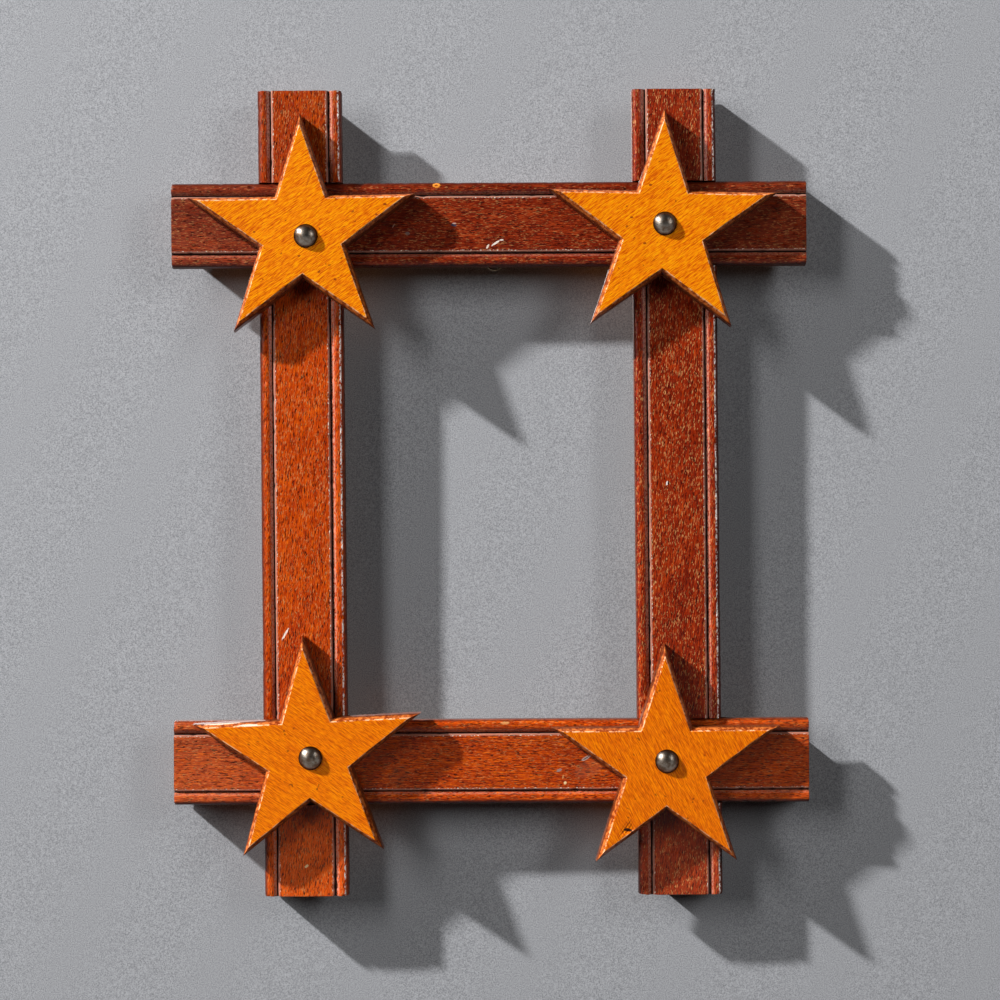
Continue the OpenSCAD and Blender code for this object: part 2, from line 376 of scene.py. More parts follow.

# Scratches, chips and stains, and the painted shade in a notch: x, z, length and width in millimetres, angle,
# colour and strength
MARKS = {
    "left_stile": [
        (-97.5, -66.5, 6.5, 1.0, 60, (250, 236, 220), 0.9),
        (-87.9, -176.6, 2.2, 1.3, 40, (244, 214, 160), 0.9),
    ],
    "right_stile": [
        (83.9, 4.2, 2.2, 0.9, 80, (250, 246, 240), 0.9), (84.6, 4.4, 1.8, 0.8, 80, (14, 10, 10), 0.9),
    ],
    "top_rail": [
        (3.2, 118.4, 5.0, 0.9, 34, (250, 240, 226), 0.9),
        (-0.6, 116.8, 2.4, 1.0, 60, (244, 226, 206), 0.85),
        (6.0, 119.9, 1.8, 0.8, 0, (250, 240, 226), 0.8),
        (-16.6, 127.0, 3.0, 1.2, -8, (58, 68, 88), 0.9),
        (-16.4, 127.9, 1.8, 0.6, 0, (214, 190, 180), 0.7),
        (-24.8, 146.0, 3.6, 2.6, 0, (240, 150, 50), 0.8),
        (-24.8, 146.0, 1.6, 1.0, 0, (110, 36, 10), 0.8),
        (-38.6, 123.2, 2.2, 1.6, 0, (118, 108, 104), 0.6),
        (-45.2, 126.8, 2.6, 0.6, 60, (196, 150, 130), 0.7),
    ],
    "bottom_rail": [
        (46.0, -131.0, 15.0, 8.0, 20, (158, 112, 84), 0.16),
        (-44.0, -134.0, 12.0, 8.0, 60, (112, 66, 46), 0.25),
        (44.9, -126.0, 4.8, 1.5, 30, (190, 176, 168), 0.75),
        (44.9, -126.0, 3.0, 0.6, 30, (60, 24, 14), 0.85),
        (32.1, -131.7, 2.6, 1.4, 25, (150, 140, 138), 0.75),
        (34.9, -137.7, 1.7, 1.3, 60, (242, 214, 158), 0.9),
        (33.9, -134.9, 2.2, 0.8, 80, (214, 160, 100), 0.7),
        (6.5, -109.2, 4.5, 1.4, 0, (226, 164, 100), 0.6),
    ],
    "star_top_left": [
        (-48.6, 135.6, 1.6, 1.2, 0, (120, 40, 12), 0.8), (-52.7, 130.9, 1.4, 1.0, 0, (130, 46, 14), 0.8),
        (-63.7, 132.3, 1.5, 1.0, 30, (120, 40, 12), 0.7), (-72.2, 100.5, 1.5, 1.1, 0, (118, 38, 12), 0.8),
        (-89.0, 111.6, 1.4, 1.0, 0, (120, 40, 12), 0.7), (-110.0, 122.9, 1.3, 1.0, 0, (124, 42, 12), 0.7),
        (-83.6, 149.0, 12.0, 1.1, 68, (172, 62, 8), 0.55),
    ],
    "star_top_right": [
        (76.0, 144.0, 1.6, 1.1, 0, (120, 40, 12), 0.8), (67.1, 128.9, 1.5, 1.0, 0, (124, 44, 12), 0.8),
        (64.8, 124.7, 1.4, 1.0, 40, (120, 40, 12), 0.7), (73.2, 116.7, 1.6, 1.1, 0, (118, 38, 12), 0.8),
    ],
    # A near-black patch over the notch in this star's face: painted shade in the notch
    "star_bottom_right": [(63.9, -158.5, 4.2, 1.5, -8, (22, 8, 6), 0.95)],
    "star_bottom_left": [
        (-125.0, -107.6, 20.0, 1.3, 4, (252, 226, 204), 0.75),
        (-114.0, -108.6, 10.0, 1.0, 2, (252, 226, 204), 0.7),
    ],
}

# The camera, square before the frame but for a slight roll in degrees, and its lens and sensor in millimetres
CAMERA_PLACE = (4.67 * MM, -990 * MM, -3.41 * MM)
CAMERA_ROLL = -0.29
LENS = 73.8
SENSOR = 36

# The lamps: which way they stand, how far off, their width and height, and their share of the light at which
# a colour renders as written. The sun behind has a strength, and a softness in degrees
LAMPS = {
    "key": ((-2.44, -1, 1.95), 6.0, 0.24, 0.24, 0.61),
    "fill_left": ((-1.05, -1, 0.58), 2.2, 0.40, 1.25, 0.235),
    "fill_right": ((1.10, -1, 0.58), 2.2, 0.40, 1.25, 0.145),
}
SUN_TOWARDS = (-0.35, 1, 0.35)
SUN_STRENGTH = 2.0
SUN_SOFTNESS = 18

# The light from all round, and the background that the camera sees past the stage
FAINT_COLOR = (0.9, 0.95, 1.0, 1.0)
FAINT_STRENGTH = 0.006
BACKGROUND = (186, 187, 189)

# The wall's gap behind the frame's middle and its slant, set by trial so that the shadows fall about where
# they should, the floor below, and how far the stage reaches
WALL_GAP = 1.95 * MM
WALL_SLANT_X = -0.00706
WALL_SLANT_Z = 0.00346
FLOOR_Z = -0.34
STAGE_REACH = 2.6
WALL_TOP = 1.4 * STAGE_REACH

# The bars and the stars, from the frame
top_low, top_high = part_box("top_rail")
left_low, left_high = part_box("left_stile")
BAR_WIDTH = top_high.z - top_low.z
BAR_DEPTH = top_high.y - top_low.y
RAIL_Z = (top_low.z + top_high.z) / 2
STILE_X = -(left_low.x + left_high.x) / 2
LAP_Y = -BAR_DEPTH / 2
STAR_THICKNESS = -BAR_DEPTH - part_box("star_top_left")[0].y

# How far in from a bar's side the bead's foot and the field's corner lie
FLANK_SWEEP = math.acos(1 - QUIRK_DEPTH / BEAD_FLANK)
BEAD_FOOT = BEAD_CREST + BEAD_FLANK * math.sin(FLANK_SWEEP)
ARRIS_IN = BEAD_FOOT + QUIRK_FLOOR

# A five-pointed star: the angle between two corners, and how far out its inner corners and the nearest places
# of its edges' lines are, as shares of its radius
STAR_ANGLE = 36
STAR_WAIST = math.sin(math.radians(18)) / math.sin(math.radians(54))
STAR_EDGE_SHARE = math.cos(math.radians(72))


def srgb(red, green, blue):
    """Linear colour of one that is read from a picture, 0 to 255."""
    parts = [c / 255 for c in (red, green, blue)]
    return tuple(c / 12.92 if c <= 0.04045 else ((c + 0.055) / 1.055) ** 2.4 for c in parts) + (1.0,)


def line(start, end, steps):
    """Points of a straight stretch, both ends included."""
    return [(start[0] + (end[0] - start[0]) * t, start[1] + (end[1] - start[1]) * t)
            for t in np.linspace(0, 1, steps + 1)]


def arc(centre, radius, start, end, steps):
    """Points of an arc in a section, with the angle in degrees turning towards the front."""
    return [(centre[0] + radius * math.cos(a), centre[1] - radius * math.sin(a))
            for a in np.radians(np.linspace(start, end, steps + 1))]


def circle(steps):
    """Angles of evenly spaced places round a circle."""
    return np.linspace(0, 2 * math.pi, steps, endpoint=False).tolist()


def half_moulding():
    """One side and half the front of a bar: bead, quirk, arris and field."""
    half = BAR_WIDTH / 2
    floor = QUIRK_DEPTH - BAR_DEPTH
    arris = half - ARRIS_IN
    shoulder = (half - BEAD_SHOULDER, BEAD_SHOULDER - BAR_DEPTH)
    points = line((half, -REBATE_DEPTH), (half, shoulder[1]), SIDE_STEPS)
    points += arc(shoulder, BEAD_SHOULDER, 0, 90, BEAD_STEPS)[1:]
    sweep = math.degrees(FLANK_SWEEP)
    points += arc((half - BEAD_CREST, BEAD_FLANK - BAR_DEPTH), BEAD_FLANK, 90, 90 + sweep, BEAD_STEPS)
    points += line((half - BEAD_FOOT, floor), (arris, floor), QUIRK_STEPS)[1:]
    points += line((arris, floor), (arris, ARRIS_ROUND - BAR_DEPTH), QUIRK_STEPS)[1:]
    points += arc((arris - ARRIS_ROUND, ARRIS_ROUND - BAR_DEPTH), ARRIS_ROUND, 0, 90, ARRIS_STEPS)[1:]
    return points + line((arris - ARRIS_ROUND, -BAR_DEPTH), (0, -BAR_DEPTH), FIELD_STEPS)[1:]


def section(rebated):
    """Section of a bar with the opening on its right: across and depth of each point."""
    half = BAR_WIDTH / 2
    right = half_moulding()
    left = [(-u, v) for u, v in reversed(right)][1:]
    side = line((-half, -REBATE_DEPTH), (-half, -END_ROUND), SIDE_STEPS)[1:]
    back = line((END_ROUND - half, 0), (half - REBATE_WIDTH, 0), BACK_STEPS)
    corner = (half - REBATE_WIDTH, -REBATE_DEPTH) if rebated else (half, 0)
    inner = line(back[-1], corner, SIDE_STEPS)[1:] + line(corner, right[0], SIDE_STEPS)[1:-1]
    return np.array(right + left + side + back + inner)


def lapped(points, is_rail):
    """A section where another bar crosses: a rail keeps its front half and a stile its back half."""
    cut = points.copy()
    if is_rail:
        cut[:, 1] = np.minimum(cut[:, 1], LAP_Y)
    else:
        cut[:, 1] = np.maximum(cut[:, 1], LAP_Y)
        cut[:, 0] = np.minimum(cut[:, 0], BAR_WIDTH / 2 - REBATE_WIDTH)
    return cut


def shouldered(points):
    """A rebated section with all that stands before the rebate drawn in to the rebate's corner."""
    corner = (BAR_WIDTH / 2 - REBATE_WIDTH, -REBATE_DEPTH)
    drawn = points.copy()
    drawn[points[:, 0] > corner[0] + TOUCHING] = corner
    return drawn


def inset(points, amount):
    """A closed section that runs clockwise, drawn in by an amount all round."""
    ahead = np.roll(points, -1, axis=0) - points
    behind = points - np.roll(points, 1, axis=0)
    normals = [np.column_stack([-d[:, 1], d[:, 0]]) / np.linalg.norm(d, axis=1, keepdims=True)
               for d in (ahead, behind)]
    middle = sum(normals)
    middle /= np.linalg.norm(middle, axis=1, keepdims=True)
    return points - amount * middle


def bar_zones(is_rail, low, high):
    """Stretches of a bar with the same section, as (start, end, section) from its low end to its high end."""
    crossing = STILE_X if is_rail else RAIL_Z
    half_lap = (BAR_WIDTH + LAP_PLAY) / 2
    recess = crossing - BAR_WIDTH / 2 + REBATE_WIDTH
    rebated = section(True)
    crossed = lapped(rebated, is_rail)
    hidden = lapped(section(False), is_rail) if is_rail else crossed
    return [
        (low + END_ROUND, -crossing - half_lap, rebated),
        (-crossing - half_lap, -recess, hidden),
        (-recess, half_lap - crossing, crossed),
        (half_lap - crossing, crossing - half_lap, rebated),
        (crossing - half_lap, recess, crossed),
        (recess, crossing + half_lap, hidden),
        (crossing + half_lap, high - END_ROUND, rebated),
    ]


def bar_rings(is_rail, low, high):
    """The rings of a bar as (along, section) from its low end to its high end."""
    zones = bar_zones(is_rail, low, high)
    whole = zones[0][2]
    shoulder = shouldered(whole)
    rings = [(low, inset(whole, END_ROUND)), (low + END_BREAK, inset(whole, END_BREAK))]
    for number, (start, end, points) in enumerate(zones):
        cut = points is whole and not is_rail
        if cut and number > 0:
            rings.append((start, shoulder))
        steps = max(1, round((end - start) / ALONG_STEP))
        rings += [(s, points) for s in np.linspace(start, end, steps + 1)]
        if cut and number < len(zones) - 1:
            rings.append((end, shoulder))
    return rings + [(high - END_BREAK, inset(whole, END_BREAK)), (high, inset(whole, END_ROUND))]


def tube(rings):
    """A bmesh of quads over rings of points that all have as many points, closed at both ends."""
    made = bmesh.new()
    rows = [[made.verts.new(p) for p in ring] for ring in rings]
    count = len(rows[0])
    for a, b in zip(rows, rows[1:]):
        for i in range(count):
            j = (i + 1) % count
            made.faces.new((a[i], a[j], b[j], b[i]))
    made.faces.new(rows[0])
    made.faces.new(list(reversed(rows[-1])))
    return made


def link(name, data):
    """A new object in the scene."""
    made = bpy.data.objects.new(name, data)
    bpy.context.scene.collection.objects.link(made)
    return made


def finish_mesh(made, name):
    """Joins what coincides, turns the faces outwards and returns the mesh as a shown object."""
    bmesh.ops.remove_doubles(made, verts=made.verts, dist=MERGE_REACH)
    bmesh.ops.dissolve_degenerate(made, edges=made.edges, dist=SHORT_EDGE)
    bmesh.ops.recalc_face_normals(made, faces=made.faces)
    mesh = bpy.data.meshes.new(name)
    made.to_mesh(mesh)
    made.free()
    mesh.shade_smooth()
    mesh.set_sharp_from_angle(angle=SHARP_ANGLE)
    piece = link(name, mesh)
    weighted = piece.modifiers.new("weighted", "WEIGHTED_NORMAL")
    weighted.keep_sharp = True
    return piece


def per_vertex(mesh, field):
    """A vector of each of a mesh's vertices, such as its place, co, or its normal."""
    flat = np.empty(len(mesh.vertices) * 3)
    mesh.vertices.foreach_get(field, flat)
    return flat.reshape(-1, 3)


def put_back(mesh, places):
    """Writes moved places into a mesh."""
    mesh.vertices.foreach_set("co", places.ravel())
    mesh.update()


def store(mesh, name, values):
    """Keeps one number or one vector for each vertex, which the materials read."""
    is_vector = values.ndim == 2
    attribute = mesh.attributes.new(name, "FLOAT_VECTOR" if is_vector else "FLOAT", "POINT")
    attribute.data.foreach_set("vector" if is_vector else "value", values.astype(np.float32).ravel())


def waves(places, lengths, seed):
    """Smooth noise from -1 to 1 at each place, with its own length of wave along each axis, in metres."""
    scaled = places / np.array(lengths) + seed
    return np.array([noise.noise(Vector(p)) for p in scaled])


def swell(places, swells, seed):
    """How far an uneven surface stands out at each place, for swells such as BAR_SWELLS."""
    return sum(height * (waves(places, lengths, seed + apart) - sunk)
               for height, lengths, sunk, apart in swells)


def press(places, spots):
    """How deep dents go at each place: the spots are (place, radius, depth)."""
    depth = np.zeros(len(places))
    for place, radius, deepest in spots:
        share = np.clip(1 - np.sum((places - np.array(place)) ** 2, axis=1) / radius ** 2, 0, 1)
        depth = np.maximum(depth, deepest * share ** DENT_RISE)
    return depth


def bar_dents(random, low, high):
    """Small knocks along the beads and arrises of a bar, in its own along, across and depth."""
    edges = [(share * BAR_WIDTH / 2, below - BAR_DEPTH) for share, below in DENTED_EDGES]
    edges.append((BAR_WIDTH / 2 - ARRIS_IN, -BAR_DEPTH))
    spots = []
    for across, depth in edges:
        for side in (-1, 1):
            along = low
            while along < high:
                radius = random.uniform(*DENT_RADIUS) * MM
                spots.append(((along, side * across, depth), radius, random.uniform(*DENT_DEPTH) * MM))
                along += random.uniform(*DENT_SPACING) * MM
    return spots


def bar_wear(own, name, low, high):
    """How far a bar's uneven and knocked surface stands out at each place."""
    random = np.random.default_rng(BARS[name]["seed"])
    dents = press(own, bar_dents(random, low, high))
    return swell(own, BAR_SWELLS, random.uniform(0, SEED_REACH)) - dents


def make_bar(name, material):
    """One bar: along X for a rail and along Z for a stile, with its rebate towards the opening."""
    is_rail = name.endswith("rail")
    low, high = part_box(name)
    start, end, centre = (low.x, high.x, low.z + high.z) if is_rail else (low.z, high.z, low.x + high.x)
    side = 1 if centre > 0 else -1
    middle = side * (RAIL_Z if is_rail else STILE_X)
    rings = []
    for along, points in bar_rings(is_rail, start, end):
        across = middle - side * points[:, 0]
        rings.append([(along, v, a) if is_rail else (a, v, along) for a, v in zip(across, points[:, 1])])
    piece = finish_mesh(tube(rings), name + "_wood")
    mesh = piece.data
    places = per_vertex(mesh, "co")
    along, across = (places[:, 0], places[:, 2]) if is_rail else (places[:, 2], places[:, 0])
    own = np.column_stack([along, side * (middle - across), places[:, 1]])
    slant = np.array([0, 0 if is_rail else GRAIN_SLANT, 0])
    store(mesh, "section", own / MM)
    store(mesh, "grain", (own + side * along[:, None] * slant) / MM)
    store(mesh, "from_end", np.minimum(along - start, end - along) / MM)
    moved = places + per_vertex(mesh, "normal") * bar_wear(own, name, start, end)[:, None]
    if not is_rail:
        moved[:, 0] -= math.tan(math.radians(STILE_LEAN)) * moved[:, 2]
    moved[:, 1] = np.minimum(moved[:, 1], 0)
    put_back(mesh, moved)
    dress(piece, "frame", name, material)


def dress(piece, body, node, material):
    """Puts a piece on its body in place of its node and material."""
    piece.data.materials.append(material)
    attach(piece, body)
    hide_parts(node)


def star_tips(turn):
    """Directions of a star's tips, one turned up."""
    angles = np.radians(90 + turn + 2 * STAR_ANGLE * np.arange(5))
    return np.column_stack([np.cos(angles), np.sin(angles)])


def star_place(corner):
    """Centre and radius of a star, worked out from its node's box and its turn."""
    low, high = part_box("star_" + corner)
    tips = star_tips(STARS[corner]["turn"])
    radius = (high.x - low.x) / (tips[:, 0].max() - tips[:, 0].min())
    return low.x - radius * tips[:, 0].min(), low.z - radius * tips[:, 1].min(), radius


def star_outline(turn, radius):
    """Points round a star about its centre, evenly spaced along its edges."""
    corners = [radius * (1 if k % 2 == 0 else STAR_WAIST) * np.array([math.cos(a), math.sin(a)])
               for k, a in enumerate(np.radians(90 + turn + STAR_ANGLE * np.arange(10)))]
    points = []
    for k, corner in enumerate(corners):
        after = corners[(k + 1) % 10]
        points += [corner + (after - corner) * t for t in np.linspace(0, 1, STAR_EDGE_STEPS, endpoint=False)]
    return np.array(points)


def star_section(edge):
    """How far in from the outline and how deep below the face each ring lies, from the face to the back."""
    chamfer, deep = STAR_CHAMFER, STAR_CHAMFER_DEPTH
    rings = [(STAR_FACE_IN + (edge - STAR_FACE_IN) * t, 0) for t in FACE_SHARES]
    rings += [(STAR_FACE_IN, 0), STAR_FALL, (CHAMFER_TOP[0] * chamfer, CHAMFER_TOP[1] * deep)]
    rings += [(chamfer * (1 - t), deep * t) for t in CHAMFER_SHARES]
    rings += [(CHAMFER_FOOT[0] * chamfer, CHAMFER_FOOT[1] * deep), (0, deep + SIDE_START)]
    rings += [(0, deep + (STAR_THICKNESS - deep) * t) for t in SIDE_SHARES]
    rings += [(0, STAR_THICKNESS - STAR_BACK_ROUND), (STAR_BACK_ROUND, STAR_THICKNESS)]
    return rings + [(edge * t, STAR_THICKNESS) for t in BACK_SHARES]


def make_star(corner, material):
    """One star on its crossing, with an uneven hand-cut chamfer."""
    x, z, radius = star_place(corner)
    turn, seed = STARS[corner]["turn"], STARS[corner]["seed"]
    outline = star_outline(turn, radius)
    edge = radius * STAR_EDGE_SHARE
    front = -BAR_DEPTH - STAR_THICKNESS
    even = np.ones(len(outline))
    uneven = 1 + CHAMFER_UNEVEN * waves(np.column_stack([outline, 0 * even]), CHAMFER_WAVES, seed)
    rings = []
    for reach, depth in star_section(edge):
        cut = reach * (uneven if reach <= STAR_FACE_IN else even)
        share = (edge - cut) / edge
        rings.append([(x + p[0], front + depth, z + p[1]) for p in outline * share[:, None]])
    piece = finish_mesh(tube(rings), "star_wood_" + corner)
    mesh = piece.data
    places = per_vertex(mesh, "co")
    own = places - np.array([x, -BAR_DEPTH, z])
    angle = math.radians(STARS[corner]["grain"])
    along = own[:, 0] * math.cos(angle) + own[:, 2] * math.sin(angle)
    across = own[:, 2] * math.cos(angle) - own[:, 0] * math.sin(angle)
    store(mesh, "grain", np.column_stack([along, across, own[:, 1]]) / MM)
    store(mesh, "rim", star_rim(own, turn, radius) / MM)
    moved = swell(own, STAR_SWELLS, seed) - star_knocks(own, corner, (x, z))
    put_back(mesh, places + per_vertex(mesh, "normal") * moved[:, None])
    dress(piece, "frame", "star_" + corner, material)


def star_knocks(own, corner, middle):
    """How deep each place of a star is notched, with the places measured from its middle."""
    spots = [((x * MM - middle[0], -STAR_THICKNESS, z * MM - middle[1]), radius * MM, depth * MM)
             for x, z, radius, depth in STAR_KNOCKS.get(corner, [])]
    return press(own, spots)


def star_rim(own, turn, radius):
    """How far in from a star's outline each place lies, by its second longest reach towards a tip."""
    reach = np.sort(own[:, [0, 2]] @ star_tips(turn).T, axis=1)
    return radius * STAR_EDGE_SHARE - reach[:, 3]


def lathe(profile, steps):
    """Rings of a turned form about the Y axis from (radius, y) points."""
    return [[(r * math.cos(a), y, r * math.sin(a)) for a in circle(steps)] for r, y in profile]


def make_nail(corner, material):
    """A nail with a slightly beaten dome, its rim on the star and its shank through to the bars."""
    low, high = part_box("nail_" + corner)
    x, z = (low.x + high.x) / 2, (low.z + high.z) / 2
    seat = -BAR_DEPTH - STAR_THICKNESS
    head, height = (high.x - low.x) / 2, seat - low.y
    dome = (head ** 2 + height ** 2) / (2 * height)
    angles = np.linspace(DOME_MIDDLE, math.asin(head / dome) * DOME_SHARE, DOME_STEPS)
    profile = [(dome * math.sin(a), low.y + dome * (1 - math.cos(a))) for a in angles]
    profile += [(head * share, seat - above) for share, above in NAIL_RIM]
    profile += [(NAIL_SHANK, seat), (NAIL_SHANK, high.y - NAIL_POINT), (NAIL_TIP, high.y)]
    piece = finish_mesh(tube(lathe(profile, NAIL_AROUND)), "nail_head_" + corner)
    mesh = piece.data
    places = per_vertex(mesh, "co")
    beaten = swell(places, NAIL_SWELLS, STARS[corner]["nail"])
    moved = places + per_vertex(mesh, "normal") * beaten[:, None]
    put_back(mesh, moved + np.array([x, 0, z]))
    store(mesh, "out", np.hypot(places[:, 0], places[:, 2]) / head)
    dress(piece, "frame", "nail_" + corner, material)


def swept(route, widths, name):
    """A round wire along a route of points, with its ends closed."""
    rings = []
    route = [Vector(p) for p in route]
    side = Vector((1, 0, 0))
    for i, point in enumerate(route):
        ahead = (route[min(i + 1, len(route) - 1)] - route[max(i - 1, 0)]).normalized()
        across = (side - ahead * side.dot(ahead)).normalized()
        other = ahead.cross(across)
        size = float(widths[i]) / 2
        rings.append([point + size * math.cos(a) * across + size * math.sin(a) * other
                      for a in circle(WIRE_AROUND)])
    return finish_mesh(tube(rings), name)


def make_screw_eye(material):
    """The wire loop in the top rail's rebate, bent round until its end almost meets its stem."""
    low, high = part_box("screw_eye")
    x, y = (low.x + high.x) / 2, (low.y + high.y) / 2
    loop = (high.y - low.y - WIRE) / 2
    middle_z = low.z + WIRE / 2 + loop
    point = list(np.linspace(SCREW_TIP, 1, POINT_STEPS) * SCREW_WIDTH)
    widths = point + [SCREW_WIDTH] * SCREW_STEPS + NECK_WIDTHS
    stem = [(x, y, z) for z in np.linspace(high.z, middle_z + loop + NECK_LENGTH, len(widths))]
    turn = [(x, y - loop * math.sin(a), middle_z + loop * math.cos(a))
            for a in np.radians(np.linspace(EYE_START, 360 - EYE_GAP, EYE_STEPS))]
    piece = swept(stem + turn, widths + [WIRE] * EYE_STEPS, "screw_eye_wire")
    dress(piece, "frame", "screw_eye", material)


def make_ring(material):
    """The hanging ring, closed with a seam that barely shows."""
    low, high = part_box("hanging_ring")
    centre = (low + high) / 2
    radius = (high.x - low.x - WIRE) / 2
    rings = []
    for a in np.radians(np.linspace(RING_SEAM, RING_SEAM - RING_TURN, RING_STEPS)):
        out = Vector((math.cos(a), 0, math.sin(a)))
        thick = WIRE / 2 * (1 - RING_WEAR * (1 + math.sin(RING_WORN * a)))
        rings.append([centre + out * radius + thick * (math.cos(b) * out + math.sin(b) * Vector((0, 1, 0)))
                      for b in circle(WIRE_AROUND)])
    piece = finish_mesh(tube(rings), "hanging_ring_wire")
    dress(piece, "ring", "hanging_ring", material)


class Shader:
    """A material under construction, with short calls for its nodes."""

    def __init__(self, name):
        """A material with nothing but its output."""
        self.material = bpy.data.materials.new(name)
        self.material.use_nodes = True
        self.tree = self.material.node_tree
        self.tree.nodes.clear()
        self.output = self.tree.nodes.new("ShaderNodeOutputMaterial")

    def add(self, kind, values=None, **settings):
        """A node with its settings, and its inputs fed by name or number."""
        node = self.tree.nodes.new(kind)
        for key, value in settings.items():
            setattr(node, key, value)
        for key, value in (values or {}).items():
            self.feed(node.inputs[key], value)
        return node

    def feed(self, socket, value):
        """Links a socket to another, or sets its value."""
        if isinstance(value, bpy.types.NodeSocket):
            self.tree.links.new(value, socket)
        else:
            socket.default_value = value

    def math(self, operation, *values):
        """The result of an operation on numbers."""
        return self.add("ShaderNodeMath", dict(enumerate(values)), operation=operation).outputs[0]

    def times(self, first, second):
        """A product."""
        return self.math("MULTIPLY", first, second)

    def plus(self, first, second):
        """A sum."""
        return self.math("ADD", first, second)

    def blend(self, noises, shares):
        """A sum of named noises, each by its share."""
        parts = [self.times(noises[key], share) for key, share in shares.items()]
        total = parts[0]
        for part in parts[1:]:
            total = self.plus(total, part)
        return total

    def mix(self, share, first, second):
        """Two colours mixed by a share."""
        return self.add("ShaderNodeMix", {0: share, 6: first, 7: second}, data_type="RGBA").outputs[2]

    def pair(self, share, tones):
        """Two colours that are read from a picture, mixed by a share."""
        return self.mix(share, srgb(*tones[0]), srgb(*tones[1]))

    def cover(self, color, where, share, over):
        """A colour with another one over it, by a share of where that one lies."""
        return self.mix(self.times(where, share), color, over)

    def lay_stain_or_painted_light(self, color, where, kind, share=None):
        """A colour with one of the STAINS_AND_PAINTED_LIGHT over it where it lies, with its usual share or a
        given one.
        """
        tint, usual = STAINS_AND_PAINTED_LIGHT[kind]
        return self.cover(color, where, usual if share is None else share, srgb(*tint))

    def step(self, value, low, high, smooth=True):
        """0 below low and 1 above high, or the other way round if low is the higher."""
        node = self.add("ShaderNodeMapRange", {0: value, 1: low, 2: high}, clamp=True)
        node.interpolation_type = "SMOOTHSTEP" if smooth else "LINEAR"
        return node.outputs[0]

    def band(self, value, start, end, form):
        """1 between two places, each moved by its number of the form, fading to 0 over the form's third."""
        low, high, soft = start + form[0], end + form[1], form[2]
        return self.times(self.step(value, low - soft, low), self.step(value, high + soft, high))

    def stored(self, name, kind="Fac"):
        """A number, or a vector for the kind Vector, that the mesh keeps for each vertex."""
        return self.add("ShaderNodeAttribute", attribute_name=name).outputs[kind]

    def parts(self, vector):
        """The three numbers of a vector."""
        return self.add("ShaderNodeSeparateXYZ", {0: vector}).outputs

    def place(self):
        """The place on the object, in metres."""
        return self.add("ShaderNodeTexCoord").outputs["Object"]

    def stretched(self, vector, scale, shift=(0, 0, 0)):
        """A vector with its axes scaled one by one."""
        return self.add("ShaderNodeMapping", {0: vector, 1: shift, 3: scale}).outputs[0]

    def noise(self, vector, scale, detail=2.0, roughness=0.5, distortion=0.0):
        """Smooth noise from 0 to 1."""
        node = self.add("ShaderNodeTexNoise", {"Vector": vector, "Scale": scale, "Detail": detail,
                                               "Roughness": roughness, "Distortion": distortion})
        return node.outputs[0]

    def wood_noises(self, kinds, shift):
        """Named noises along the grain, for kinds such as WALNUT_NOISES."""
        grain = self.stored("grain", "Vector")
        made = {}
        for name, (scale, (along, across, deep), *quality) in kinds.items():
            vector = self.stretched(grain, scale, (shift + along, across, deep))
            made[name] = self.noise(vector, 1.0, *quality)
        return made

    def wood_color(self, noises, shares, tones, steps):
        """The wood's own colour, from its first tone over its second to its third."""
        tone = self.blend(noises, shares)
        color = self.pair(self.step(tone, *steps[0]), tones)
        return self.mix(self.step(tone, *steps[1]), color, srgb(*tones[2]))

    def mark(self, color, deepest, spot):
        """A colour with one of the MARKS over it, as seen from the front and only before a depth."""
        x, z, length, width, angle, tint, share = spot
        place = self.place()
        front = self.step(self.parts(place)[1], deepest, deepest - MARK_FADE)
        inputs = {0: place, 1: (x * MM, 0, z * MM), 2: (0, -math.radians(angle), 0),
                  3: (length * MM / 2, 1, width * MM / 2)}
        turned = self.add("ShaderNodeMapping", inputs, vector_type="TEXTURE")
        flat = self.add("ShaderNodeVectorMath", {0: turned.outputs[0], 1: (1, 0, 1)}, operation="MULTIPLY")
        reach = self.add("ShaderNodeVectorMath", {0: flat.outputs[0]}, operation="LENGTH").outputs["Value"]
        waver = self.times(self.noise(place, MARK_WAVES, 1.0), MARK_RAGGED)
        inside = self.step(self.plus(reach, waver), *MARK_EDGE)
        return self.cover(color, inside, self.times(front, share), srgb(*tint))

    def rough(self, noise, share, least):
        """Roughness that grows from its least with a share of a noise."""
        return self.plus(self.times(noise, share), least)

    def surface(self, color, roughness, height, relief, kind):
        """A surface with a bump from a height; its kind names one more value of it and says how much."""
        bump = self.add("ShaderNodeBump", {"Height": height, "Strength": relief[0], "Distance": relief[1]})
        values = {"Base Color": color, "Roughness": roughness, "Normal": bump.outputs[0], kind[0]: kind[1]}
        self.feed(self.output.inputs[0], self.add("ShaderNodeBsdfPrincipled", values).outputs[0])
        return self.material


